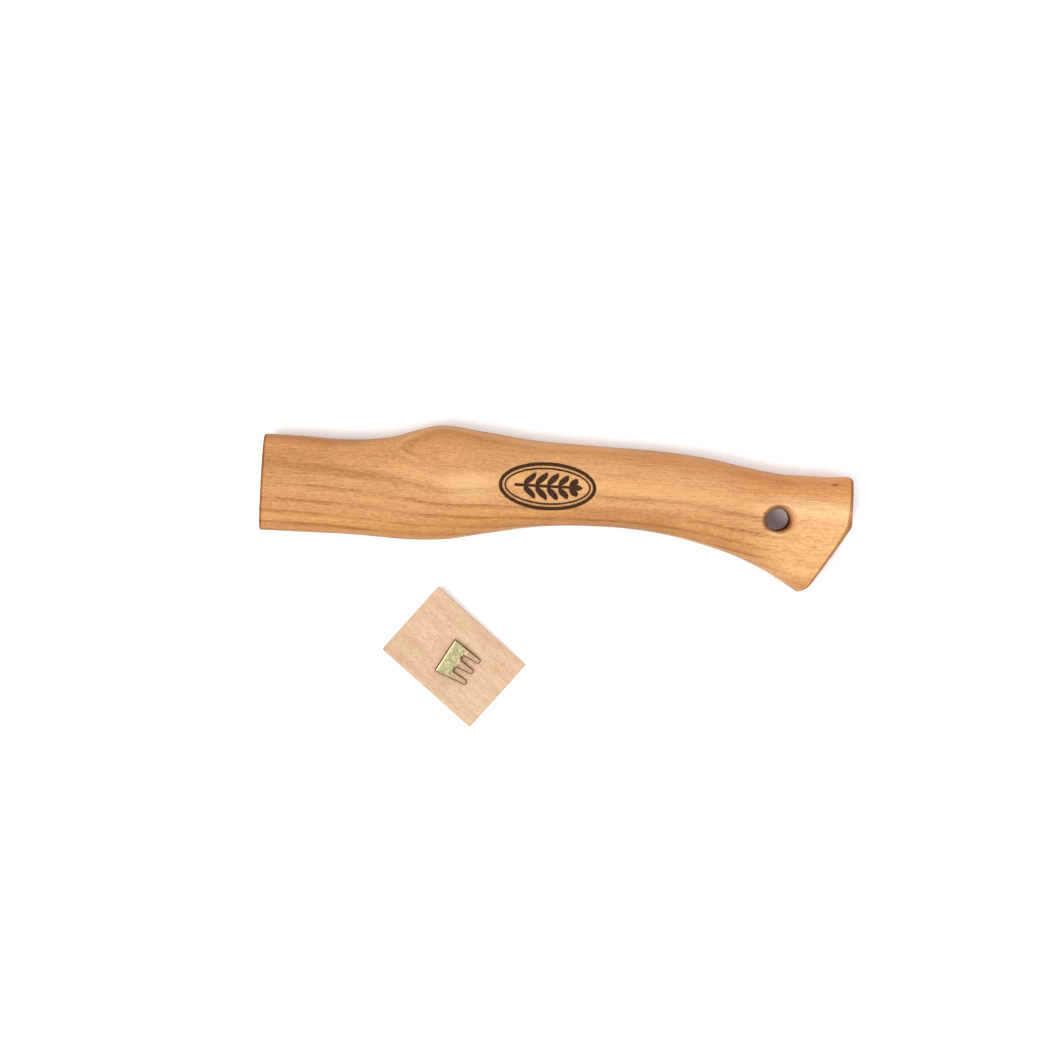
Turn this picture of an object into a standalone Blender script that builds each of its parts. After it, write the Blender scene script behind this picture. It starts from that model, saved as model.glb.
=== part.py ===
"""Handle kit for a small carving hatchet, laid out on a flat surface.

Three loose pieces: the curved hickory handle lying on its side, the beech wedge that is
driven into the handle's kerf, and, lying on that wedge, the three-legged metal wedge that
is driven in across it. Units are metres. +X runs from the handle's eye end to its knob,
+Y to its back, the side of the head's poll, and +Z is up. The origin is on the surface,
under the middle of the kit.

The handle is described in its own frame: x from its eye end along the axis of the eye, y
from that axis towards the back, z from the plane that halves its thickness.
"""

import math

import bmesh
import bpy
from mathutils import Matrix

KIT_NAME = "hatchet_handle_kit"
CLEARANCE = 0.0003
MERGE = 0.00001

# Handle: the outline seen from the side, as points (x, y) that a smooth curve runs through.
HANDLE_LENGTH = 0.250
BACK = (
    (0.0, 0.0211),
    (0.014, 0.0211),
    (0.030, 0.02065),
    (0.046, 0.0214),
    (0.056, 0.0232),
    (0.066, 0.0266),
    (0.0765, 0.0287),
    (0.094, 0.0268),
    (0.112, 0.0248),
    (0.140, 0.02365),
    (0.168, 0.0228),
    (0.188, 0.0210),
    (0.204, 0.0182),
    (0.224, 0.01585),
    (0.238, 0.01585),
    (0.250, 0.0167),
)
BELLY = (
    (0.0, -0.0200),
    (0.030, -0.01965),
    (0.044, -0.0198),
    (0.062, -0.0204),
    (0.078, -0.0196),
    (0.096, -0.0161),
    (0.118, -0.0120),
    (0.148, -0.0105),
    (0.168, -0.0118),
    (0.188, -0.0156),
    (0.204, -0.0205),
    (0.216, -0.0258),
    (0.230, -0.0341),
    (0.250, -0.0460),
)
# Its thickness at right angles to that outline, and how square each cross-section is: 2 is
# an ellipse, and a larger exponent fills the corners.
SWELL_THICKNESS = 0.024
THICKNESS = (
    (0.0, 0.0180),
    (0.044, 0.0190),
    (0.060, 0.0214),
    (0.077, SWELL_THICKNESS),
    (0.098, 0.0230),
    (0.128, 0.0212),
    (0.155, 0.0206),
    (0.190, 0.0215),
    (0.216, 0.0231),
    (0.236, SWELL_THICKNESS),
    (0.250, SWELL_THICKNESS),
)
SQUARENESS = (
    (0.0, 2.9),
    (0.046, 2.8),
    (0.077, 2.45),
    (0.140, 2.3),
    (0.200, 2.5),
    (0.250, 2.9),
)
# The eye is an egg: thinner towards the blade's side by this share at its very edge.
EYE_EGG = 0.08
EYE_LENGTH = 0.050

# Knob: a straight end face, then a slanted one down to the toe, whose round meets the belly
# at a blunt tip just before its lowest point.
SLANT_TOP = -0.0050
SLANT = 0.64
KNOB_TOP = 0.0166
KNOB_ROUND = 0.0025
TOE_LOW = -0.0337
TOE_ROUND = 0.0080
KNOB_START = 0.200
END_EASE = 0.0013

KERF_WIDTH = 0.0030
KERF_DEPTH = 0.038

HOLE_X = 0.2193
HOLE_Y = -0.0037
HOLE_RADIUS = 0.0050
HOLE_STRETCH = 1.1
HOLE_FLARE = 0.0015

# Beech wedge: its underside lies flat, and its top slopes from the thick end to the thin one.
WEDGE_LENGTH = 0.0501
WEDGE_WIDTH = 0.0357
WEDGE_THICK = 0.0070
WEDGE_THIN = 0.0016
WEDGE_EASE = 0.0003
WEDGE_X = 0.0853
WEDGE_Y = -0.0696
WEDGE_TURN = math.radians(-38.8)

# Three-legged metal wedge: x from its head towards the tips of the legs.
NAIL_LENGTH = 0.0147
NAIL_HEAD_WIDTH = 0.0158
NAIL_TIP_WIDTH = 0.0129
NAIL_ROOT = 0.0067
NAIL_GAP = 0.0024
NAIL_GAP_MIDDLE = 0.00285
NAIL_LEG = 0.0022
NAIL_HEAD_THICKNESS = 0.0022
NAIL_TIP_THICKNESS = 0.0006
NAIL_X = -0.0039
NAIL_Y = -0.0018
NAIL_TURN = math.radians(9.0)

# Mesh density.
HALF_ROUND = 24
STATION_STEP = 0.0045
EASE_RINGS = 3
HOLE_STEPS = 32
NAIL_ARC_STEPS = 8
SHARP_ANGLE = math.radians(35)
SOLVER_STEPS = 40


def clear_scene():
    for obj in list(bpy.data.objects):
        bpy.data.objects.remove(obj, do_unlink=True)


def new_collection(name):
    collection = bpy.data.collections.new(name)
    bpy.context.scene.collection.children.link(collection)
    return collection


def principled(name, colour, roughness, metallic):
    material = bpy.data.materials.new(name)
    material.use_nodes = True
    shader = material.node_tree.nodes["Principled BSDF"]
    shader.inputs["Base Color"].default_value = (*colour, 1.0)
    shader.inputs["Roughness"].default_value = roughness
    shader.inputs["Metallic"].default_value = metallic
    return material


def add_object(name, mesh, collection):
    obj = bpy.data.objects.new(name, mesh)
    collection.objects.link(obj)
    return obj


def make_cutter(obj):
    obj.hide_render = True
    obj.display_type = "WIRE"


def move_to(obj, collection):
    for current in list(obj.users_collection):
        current.objects.unlink(obj)
    collection.objects.link(obj)


def cut(obj, cutter, name):
    modifier = obj.modifiers.new(name, "BOOLEAN")
    modifier.operation = "DIFFERENCE"
    modifier.solver = "EXACT"
    modifier.object = cutter


def smooth_through(points, x):
    """Height at x of the smooth curve through points, level at each of its peaks and dips."""
    last = len(points) - 1
    index = 0
    while index < last - 1 and x > points[index + 1][0]:
        index += 1

    def rise(i):
        return (points[i + 1][1] - points[i][1]) / (points[i + 1][0] - points[i][0])

    def tangent(i):
        if i == 0:
            return rise(0)
        if i == last:
            return rise(last - 1)
        before = rise(i - 1)
        after = rise(i)
        if before * after <= 0:
            return 0.0
        reach = points[i + 1][0] - points[i - 1][0]
        share = (points[i][0] - points[i - 1][0]) / reach
        return before * (1 - share) + after * share

    x0, y0 = points[index]
    x1, y1 = points[index + 1]
    span = x1 - x0
    t = (x - x0) / span
    start = (1 + 2 * t) * (1 - t) ** 2 * y0 + t * (1 - t) ** 2 * span * tangent(index)
    end = t * t * (3 - 2 * t) * y1 + t * t * (t - 1) * span * tangent(index + 1)
    return start + end


def section_point(x, angle, inset):
    """(y, z) on the handle's cross-section at x. The angle runs from 0 at the back to pi at
    the belly, and the section is drawn in by inset all round."""
    back = smooth_through(BACK, x)
    belly = smooth_through(BELLY, x)
    power = 2 / smooth_through(SQUARENESS, x)
    across = math.copysign(abs(math.cos(angle)) ** power, math.cos(angle))
    through = abs(math.sin(angle)) ** power
    egg = EYE_EGG * max(0.0, 1 - x / EYE_LENGTH) * across
    y = (back + belly) / 2 + across * ((back - belly) / 2 - inset)
    z = through * (smooth_through(THICKNESS, x) / 2 - inset) * (1 + min(0.0, egg))
    return y, z


def knob_end(y):
    """X of the end of the knob, at y: rounded back corner, straight face, slanted face, and
    rounded toe."""
    slope = math.hypot(1, SLANT)
    toe_y = TOE_LOW + TOE_ROUND
    toe_x = HANDLE_LENGTH + SLANT * (toe_y - SLANT_TOP) - TOE_ROUND * slope
    if y < toe_y - TOE_ROUND * SLANT / slope:
        return toe_x + math.sqrt(max(0.0, TOE_ROUND**2 - (toe_y - y) ** 2))
    corner_y = KNOB_TOP - KNOB_ROUND
    if y > corner_y:
        round_x = math.sqrt(max(0.0, KNOB_ROUND**2 - (y - corner_y) ** 2))
        return HANDLE_LENGTH - KNOB_ROUND + round_x
    return HANDLE_LENGTH + SLANT * min(0.0, y - SLANT_TOP)


def line_end(angle, inset):
    """X at which the lengthwise line of the handle at this angle meets the knob's end."""
    low = KNOB_START
    high = HANDLE_LENGTH
    for _ in range(SOLVER_STEPS):
        middle = (low + high) / 2
        if knob_end(section_point(middle, angle, inset)[0]) > middle:
            low = middle
        else:
            high = middle
    return high


def handle_rings():
    """The rings of points over the upper half of the handle, from the eye end to the knob.
    Both ends are eased by a quarter round."""
    angles = [math.pi * step / HALF_ROUND for step in range(HALF_ROUND + 1)]
    turns = [math.pi / 2 * step / EASE_RINGS for step in range(EASE_RINGS + 1)]
    rings = []
    for turn in reversed(turns):
        x = END_EASE * (1 - math.sin(turn))
        inset = END_EASE * (1 - math.cos(turn))
        rings.append([(x, *section_point(x, angle, inset)) for angle in angles])
    body_end = HANDLE_LENGTH - END_EASE
    count = round((body_end - END_EASE) / STATION_STEP)
    for station in range(1, count):
        x = END_EASE + (body_end - END_EASE) * station / count
        ring = []
        for angle in angles:
            own_x = x
            if x > KNOB_START:
                room = line_end(angle, 0.0) - END_EASE - KNOB_START
                own_x = KNOB_START + (x - KNOB_START) * room / (body_end - KNOB_START)
            ring.append((own_x, *section_point(own_x, angle, 0.0)))
        rings.append(ring)
    for turn in turns:
        inset = END_EASE * (1 - math.cos(turn))
        ring = []
        for angle in angles:
            x = line_end(angle, inset) - END_EASE * (1 - math.sin(turn))
            ring.append((x, *section_point(x, angle, inset)))
        rings.append(ring)
    return rings


def handle_mesh():
    """The upper half of the handle, open at the plane that halves its thickness."""
    mesh = bpy.data.meshes.new("handle")
    edit = bmesh.new()
    rows = []
    for ring in handle_rings():
        flat = [(x, y, 0.0 if i in (0, HALF_ROUND) else z) for i, (x, y, z) in enumerate(ring)]
        rows.append([edit.verts.new(point) for point in flat])
    for row, following in zip(rows, rows[1:]):
        for i in range(HALF_ROUND):
            edit.faces.new((row[i], following[i], following[i + 1], row[i + 1]))
    for row, is_knob in ((rows[0], False), (rows[-1], True)):
        feet = [row[0]]
        feet += [edit.verts.new((v.co.x, v.co.y, 0.0)) for v in row[1:-1]]
        feet.append(row[-1])
        for i in range(HALF_ROUND):
            corners = [row[i], row[i + 1], feet[i + 1], feet[i]]
            if is_knob:
                corners.reverse()
            edit.faces.new([v for k, v in enumerate(corners) if v not in corners[:k]])
    bmesh.ops.recalc_face_normals(edit, faces=edit.faces)
    edit.to_mesh(mesh)
    edit.free()
    mesh.shade_smooth()
    mesh.set_sharp_from_angle(angle=SHARP_ANGLE)
    return mesh


def kerf_cutter(parent, collection):
    """A slab on the halving plane, open past the eye end and past the back and the belly."""
    overshoot = 0.010
    eye_width = BACK[0][1] - BELLY[0][1]
    bpy.ops.mesh.primitive_cube_add(size=1)
    cutter = bpy.context.object
    cutter.name = "kerf_cutter"
    size = (KERF_DEPTH + overshoot, eye_width + 2 * overshoot, KERF_WIDTH)
    middle = Matrix.Translation(((KERF_DEPTH - overshoot) / 2, 0.0, 0.0))
    cutter.data.transform(middle @ Matrix.Diagonal((*size, 1.0)))
    cutter.parent = parent
    make_cutter(cutter)
    move_to(cutter, collection)
    return cutter


def hang_hole_cutter(parent, collection):
    """A turned cutter, drawn out a little along the handle: a straight bore that widens where
    it leaves the wood."""
    surface = section_point(HOLE_X, math.pi / 2, 0.0)[1]
    overshoot = 0.003
    flare_start = surface - HOLE_FLARE
    top = surface + overshoot
    wide = HOLE_RADIUS + HOLE_FLARE + overshoot
    profile = [(0.0, top), (wide, top), (HOLE_RADIUS, flare_start)]
    profile += [(radius, -z) for radius, z in reversed(profile)]
    mesh = bpy.data.meshes.new("hang_hole_cutter")
    edges = [(i, i + 1) for i in range(len(profile) - 1)]
    mesh.from_pydata([(radius, 0.0, z) for radius, z in profile], edges, [])
    cutter = add_object("hang_hole_cutter", mesh, collection)
    cutter.location = (HOLE_X, HOLE_Y, 0.0)
    cutter.scale = (HOLE_STRETCH, 1.0, 1.0)
    cutter.parent = parent
    screw = cutter.modifiers.new("turned", "SCREW")
    screw.steps = HOLE_STEPS
    screw.render_steps = HOLE_STEPS
    screw.use_merge_vertices = True
    screw.merge_threshold = MERGE
    make_cutter(cutter)
    return cutter


def make_handle(kit, parts, cutters):
    mesh = handle_mesh()
    handle = add_object("handle", mesh, parts)
    mesh.materials.append(principled("hickory", (0.72, 0.42, 0.20), 0.5, 0.0))
    handle.parent = kit
    mirror = handle.modifiers.new("halves", "MIRROR")
    mirror.use_axis = (False, False, True)
    mirror.merge_threshold = MERGE
    cut(handle, kerf_cutter(handle, cutters), "kerf")
    cut(handle, hang_hole_cutter(handle, cutters), "hang_hole")
    return handle


def make_wedge(kit, parts):
    """Beech wedge, x from its thick end to its thin end, with its underside at z = 0."""
    bpy.ops.mesh.primitive_cube_add(size=1)
    wedge = bpy.context.object
    wedge.name = "wooden_wedge"
    mesh = wedge.data
    mesh.name = "wooden_wedge"
    for vertex in mesh.vertices:
        thickness = WEDGE_THICK if vertex.co.x < 0 else WEDGE_THIN
        top = thickness if vertex.co.z > 0 else 0.0
        vertex.co = (vertex.co.x * WEDGE_LENGTH, vertex.co.y * WEDGE_WIDTH, top)
    mesh.materials.append(principled("beech", (0.80, 0.57, 0.38), 0.6, 0.0))
    bevel = wedge.modifiers.new("eased_edges", "BEVEL")
    bevel.width = WEDGE_EASE
    bevel.segments = 2
    wedge.parent = kit
    wedge.rotation_euler = (0.0, 0.0, WEDGE_TURN)
    move_to(wedge, parts)
    return wedge


def arc(centre_x, centre_y, radius, start, end):
    """Points of an arc about a centre, angles in degrees."""
    points = []
    for step in range(NAIL_ARC_STEPS + 1):
        angle = math.radians(start + (end - start) * step / NAIL_ARC_STEPS)
        x = centre_x + radius * math.cos(angle)
        y = centre_y + radius * math.sin(angle)
        points.append((x, y))
    return points


def nail_outline():
    """The comb seen from above: a straight head, sides that draw in, three tapered legs with
    round tips, and two gaps with round roots."""
    tip_radius = NAIL_LEG / 2
    tip_x = NAIL_LENGTH - tip_radius
    half = [(0.0, NAIL_HEAD_WIDTH / 2)]
    half += arc(tip_x, NAIL_TIP_WIDTH / 2 - tip_radius, tip_radius, 90, -90)
    half += arc(NAIL_ROOT + NAIL_GAP / 2, NAIL_GAP_MIDDLE, NAIL_GAP / 2, 90, 270)
    half += arc(tip_x, 0.0, tip_radius, 90, 0)
    mirrored = [(x, -y) for x, y in reversed(half[:-1])]
    return half + mirrored


def nail_thickness(x):
    """Even over the head, then thinning evenly to the tips of the legs."""
    share = max(0.0, x - NAIL_ROOT) / (NAIL_LENGTH - NAIL_ROOT)
    return NAIL_HEAD_THICKNESS + (NAIL_TIP_THICKNESS - NAIL_HEAD_THICKNESS) * share


def make_nail(wedge_top, parts):
    outline = nail_outline()
    curve = bpy.data.curves.new("three_leg_nail", "CURVE")
    curve.dimensions = "2D"
    curve.fill_mode = "BOTH"
    curve.extrude = NAIL_HEAD_THICKNESS / 2
    spline = curve.splines.new("POLY")
    spline.points.add(len(outline) - 1)
    for point, (x, y) in zip(spline.points, outline):
        point.co = (x, y, 0.0, 1.0)
    spline.use_cyclic_u = True
    plate = add_object("plate", curve, parts)
    graph = bpy.context.evaluated_depsgraph_get()
    mesh = bpy.data.meshes.new_from_object(plate.evaluated_get(graph))
    bpy.data.objects.remove(plate)

    edit = bmesh.new()
    edit.from_mesh(mesh)
    bmesh.ops.remove_doubles(edit, verts=edit.verts, dist=MERGE)
    everything = [*edit.verts, *edit.edges, *edit.faces]
    root = (NAIL_ROOT, 0.0, 0.0)
    bmesh.ops.bisect_plane(edit, geom=everything, dist=MERGE, plane_co=root, plane_no=(1, 0, 0))
    for vertex in edit.verts:
        vertex.co.z = nail_thickness(vertex.co.x) if vertex.co.z > 0 else 0.0
    bmesh.ops.recalc_face_normals(edit, faces=edit.faces)
    edit.to_mesh(mesh)
    edit.free()
    mesh.name = "three_leg_nail"
    mesh.shade_smooth()
    mesh.set_sharp_from_angle(angle=SHARP_ANGLE)
    mesh.materials.append(principled("brass_plate", (0.72, 0.62, 0.36), 0.35, 1.0))

    nail = add_object("three_leg_nail", mesh, parts)
    nail.parent = wedge_top
    nail.location = (NAIL_X, NAIL_Y, CLEARANCE)
    nail.rotation_euler = (0.0, 0.0, NAIL_TURN)
    return nail


def make_wedge_top(wedge, parts):
    """An empty on the middle of the wedge's sloping top, tilted with it."""
    slope = math.atan((WEDGE_THICK - WEDGE_THIN) / WEDGE_LENGTH)
    wedge_top = add_object("wedge_top", None, parts)
    wedge_top.parent = wedge
    wedge_top.location = (0.0, 0.0, (WEDGE_THICK + WEDGE_THIN) / 2)
    wedge_top.rotation_euler = (0.0, slope, 0.0)
    return wedge_top


def lowest_wedge_corner():
    """Y of the wedge's corner that is farthest from the handle, in the handle's frame."""
    reach = WEDGE_LENGTH / 2 * abs(math.sin(WEDGE_TURN)) + WEDGE_WIDTH / 2 * math.cos(WEDGE_TURN)
    return WEDGE_Y - reach


def main():
    clear_scene()
    parts = new_collection(KIT_NAME)
    cutters = new_collection("cutters")
    kit = add_object("kit", None, parts)

    back_edge = max(y for _, y in BACK)
    middle_x = HANDLE_LENGTH / 2
    middle_y = (back_edge + lowest_wedge_corner()) / 2

    handle = make_handle(kit, parts, cutters)
    handle.location = (-middle_x, -middle_y, SWELL_THICKNESS / 2)
    wedge = make_wedge(kit, parts)
    wedge.location = (WEDGE_X - middle_x, WEDGE_Y - middle_y, 0.0)
    make_nail(make_wedge_top(wedge, parts), parts)


main()
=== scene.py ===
"""Looks of the hatchet handle kit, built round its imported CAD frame: a ring-porous hickory
handle with a burnt-in sprig, a beech wedge and a brass-plated three-legged metal wedge.
Units are metres, in the CAD's frame; texture lengths are in millimetres."""

import math
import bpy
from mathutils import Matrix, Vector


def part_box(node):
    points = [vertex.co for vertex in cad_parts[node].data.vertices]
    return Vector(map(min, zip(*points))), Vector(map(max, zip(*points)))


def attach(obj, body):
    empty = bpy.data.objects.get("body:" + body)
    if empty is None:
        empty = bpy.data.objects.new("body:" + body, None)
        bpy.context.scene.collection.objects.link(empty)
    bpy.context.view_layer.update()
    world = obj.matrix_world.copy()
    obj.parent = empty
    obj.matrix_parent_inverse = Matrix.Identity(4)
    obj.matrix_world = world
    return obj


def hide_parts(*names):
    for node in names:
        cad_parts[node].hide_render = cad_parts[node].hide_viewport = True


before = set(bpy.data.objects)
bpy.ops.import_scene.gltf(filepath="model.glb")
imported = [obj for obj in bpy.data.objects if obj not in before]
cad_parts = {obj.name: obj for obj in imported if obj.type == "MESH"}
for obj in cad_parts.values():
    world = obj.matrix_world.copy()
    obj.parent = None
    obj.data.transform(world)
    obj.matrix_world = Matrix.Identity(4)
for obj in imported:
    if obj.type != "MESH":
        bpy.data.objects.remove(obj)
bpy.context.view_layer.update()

from types import SimpleNamespace

import bmesh
import bpy
import numpy as np
from mathutils import Matrix, Vector, noise

TO_MM = 1000.0

# The Mix node has a set of sockets for each kind of data; these are its colour ones.
MIX_COLOUR_A = 6
MIX_COLOUR_B = 7
MIX_COLOUR_RESULT = 2

# The handle's outline, thickness and sections, as its CAD has them: x from the eye end, y
# from the eye's axis to the back, z from the plane that halves the thickness.
LENGTH = 0.250
BACK = (
    (0.0, 0.0211),
    (0.014, 0.0211),
    (0.030, 0.02065),
    (0.046, 0.0214),
    (0.056, 0.0232),
    (0.066, 0.0266),
    (0.0765, 0.0287),
    (0.094, 0.0268),
    (0.112, 0.0248),
    (0.140, 0.02365),
    (0.168, 0.0228),
    (0.188, 0.0210),
    (0.204, 0.0182),
    (0.224, 0.01585),
    (0.238, 0.01585),
    (0.250, 0.0167),
)
BELLY = (
    (0.0, -0.0200),
    (0.030, -0.01965),
    (0.044, -0.0198),
    (0.062, -0.0204),
    (0.078, -0.0196),
    (0.096, -0.0161),
    (0.118, -0.0120),
    (0.148, -0.0105),
    (0.168, -0.0118),
    (0.188, -0.0156),
    (0.204, -0.0205),
    (0.216, -0.0258),
    (0.230, -0.0341),
    (0.250, -0.0460),
)
THICKNESS = (
    (0.0, 0.0180),
    (0.044, 0.0190),
    (0.060, 0.0214),
    (0.077, 0.0240),
    (0.098, 0.0230),
    (0.128, 0.0212),
    (0.155, 0.0206),
    (0.190, 0.0215),
    (0.216, 0.0231),
    (0.236, 0.0240),
    (0.250, 0.0240),
)
SQUARENESS = (
    (0.0, 2.9),
    (0.046, 2.8),
    (0.077, 2.45),
    (0.140, 2.3),
    (0.200, 2.5),
    (0.250, 2.9),
)
EYE_EGG = 0.08
EYE_LENGTH = 0.050
SLANT_TOP = -0.0050
SLANT = 0.64
KNOB_TOP = 0.0166
KNOB_ROUND = 0.0025
TOE_LOW = -0.0337
TOE_ROUND = 0.0080
KNOB_START = 0.200
KERF_WIDTH = 0.0030
KERF_DEPTH = 0.038
HOLE = Vector((0.2193, -0.0037, 0.0))
HOLE_RADIUS = 0.0050
HOLE_STRETCH = 1.1
HOLE_MOUTH = 0.0018
HOLE_EXIT_SHARE = 0.94
HOLE_EXIT_SHIFT = 0.0008

# How far the handle's end edges are eased, and how uneven its surface is.
EYE_EASE = 0.0013
KNOB_EASE = 0.0013
MORE_EASE_BETWEEN_FACES = 0.0011
LESS_EASE_AT_TIP = 0.0007
BROAD_UNEVENNESS = 0.00010
FINE_UNEVENNESS = 0.00003

# The wedge is longest along its own x, and thick at the low end of it.
WEDGE_LENGTH = 0.0501
WEDGE_WIDTH = 0.0357
WEDGE_THICK = 0.0070
WEDGE_THIN = 0.0016
WEDGE_TURN = math.radians(-38.8)
WEDGE_EDGE = 0.00035
WEDGE_GRID = 0.0012
SAWN_FACE_UNEVENNESS = 0.00003
SAWN_SIDE_UNEVENNESS = 0.00008

# The three-legged metal wedge runs along its own x, from its head to the tips of its legs.
NAIL_LENGTH = 0.0147
NAIL_HEAD_WIDTH = 0.0158
NAIL_TIP_WIDTH = 0.0129
NAIL_ROOT = 0.0067
NAIL_GAP = 0.0024
NAIL_GAP_MIDDLE = 0.00285
NAIL_LEG = 0.0022
NAIL_HEAD_THICKNESS = 0.0022
NAIL_TIP_THICKNESS = 0.0006
NAIL_ROUNDING = 0.0005
NAIL_PLACE = (-0.0039, -0.0018, 0.0003)
NAIL_TURN = math.radians(9.0)

# Where the three pieces lie, from the CAD's boxes.
handle_low, handle_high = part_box("handle")
back_edge = max(y for _, y in BACK)
HANDLE_ORIGIN = Vector(
    (handle_low.x, handle_high.y - back_edge, (handle_low.z + handle_high.z) / 2)
)
wedge_low, wedge_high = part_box("wooden_wedge")
wedge_middle = (wedge_low + wedge_high) / 2
WEDGE_PLACE = (
    Matrix.Translation((wedge_middle.x, wedge_middle.y, wedge_low.z))
    @ Matrix.Rotation(WEDGE_TURN, 4, "Z")
)
WEDGE_SLOPE = math.atan((WEDGE_THICK - WEDGE_THIN) / WEDGE_LENGTH)

# Camera: straight above a point below the handle's grip, given from the eye's end and
# axis, and rolled a little against the handle.
CAMERA_OVER = Vector((0.1124, -0.0116))
CAMERA_HEIGHT = 1.35
CAMERA_ROLL = math.radians(3.2)
VIEW_WIDTH = 0.4495
SENSOR = 36.0

FLOOR_REACH = 40.0
FLOOR_DROP = 0.0001

# The wood of the handle, in millimetres: its pith lies behind and above the eye.
PITH_BEHIND = 32.0
PITH_ABOVE = 50.0
PITH_LEAN = 0.035
FIRST_RING = 46.7
RING_WIDTH = 4.4


def srgb(red, green, blue):
    """A colour given as it looks on a screen, 0 to 255, as linear light."""

    def linear(value):
        share = value / 255
        return share / 12.92 if share <= 0.04045 else ((share + 0.055) / 1.055) ** 2.4

    return (linear(red), linear(green), linear(blue), 1.0)


HICKORY_DARK = srgb(161, 102, 51)
HICKORY_LIGHT = srgb(227, 172, 112)
# Colours of the hang hole's rim and wall: painted shade, painted light and a painted highlight.
HOLE_RIM_SHADE = srgb(116, 64, 30)
HOLE_RIM_LIT = srgb(224, 152, 102)
HOLE_RIM_HIGHLIGHT = srgb(232, 186, 132)
HOLE_WALL_SHADE = srgb(120, 68, 34)
HOLE_WALL_LIT = srgb(252, 188, 134)
HOLE_LOWER_WALL_SHADE = srgb(158, 76, 30)
MINERAL_FLECK = srgb(120, 57, 21)
MARK_BROWNED = srgb(147, 92, 48)
CHAR_DARK = srgb(20, 9, 4)
CHAR_LIGHT = srgb(72, 38, 20)
BEECH_DARK = srgb(191, 150, 119)
BEECH_LIGHT = srgb(235, 205, 174)
BEECH_FLECK = srgb(214, 142, 104)
BRASS_DARK = srgb(114, 108, 76)
BRASS_LIGHT = srgb(202, 192, 148)
# A painted highlight for the head's back edge, leg colours that paint a highlight and a reflection
# of the wood, and cut-edge colours that are partly painted shade.
BRASS_BEVEL_HIGHLIGHT = srgb(236, 218, 170)
LEG_REFLECTION_DARK = srgb(192, 154, 122)
LEG_REFLECTION_LIGHT = srgb(240, 206, 174)
SHEARED_AND_SHADED_DARK = srgb(74, 42, 16)
SHEARED_AND_SHADED_LIGHT = srgb(126, 76, 32)

# Factors of red, green and blue that tint a wood's colour from place to place; some of them paint
# light and shade, as said where they are used.
SWELLING_HIGHLIGHT = (1.0, 1.08, 1.20)
FIGURE_LIGHTER = (1.11, 1.30, 1.32)
FIGURE_DARKER = (0.84, 0.78, 0.72)
BELLY_YELLOWER = (1.0, 0.98, 0.84)
BACK_SHADE_REDDER = (0.93, 0.83, 0.76)
KNOB_BACK_WARMER = (1.10, 1.00, 0.90)
SAPWOOD_AND_SHEEN_PALER = (1.30, 1.50, 1.90)
STREAK_PALER = (1.12, 1.22, 1.28)
BELLY_FLANK_SHADE = (0.86, 0.79, 0.86)
BACK_FLANK_SHADE = (0.82, 0.70, 0.66)
END_GRAIN_AND_SHADE_DARKER = (0.60, 0.43, 0.33)
OPEN_PORES_DARKER = (0.74, 0.66, 0.62)
STEEP_END_SHADE = (0.62, 0.58, 0.60)
BEECH_PINKER = (1.01, 0.985, 0.99, 1.0)
BEECH_YELLOWER = (0.995, 1.01, 0.965, 1.0)
BEECH_SIDE_SHADE = (0.70, 0.62, 0.58)


# ---------------------------------------------------------------- node building


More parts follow.
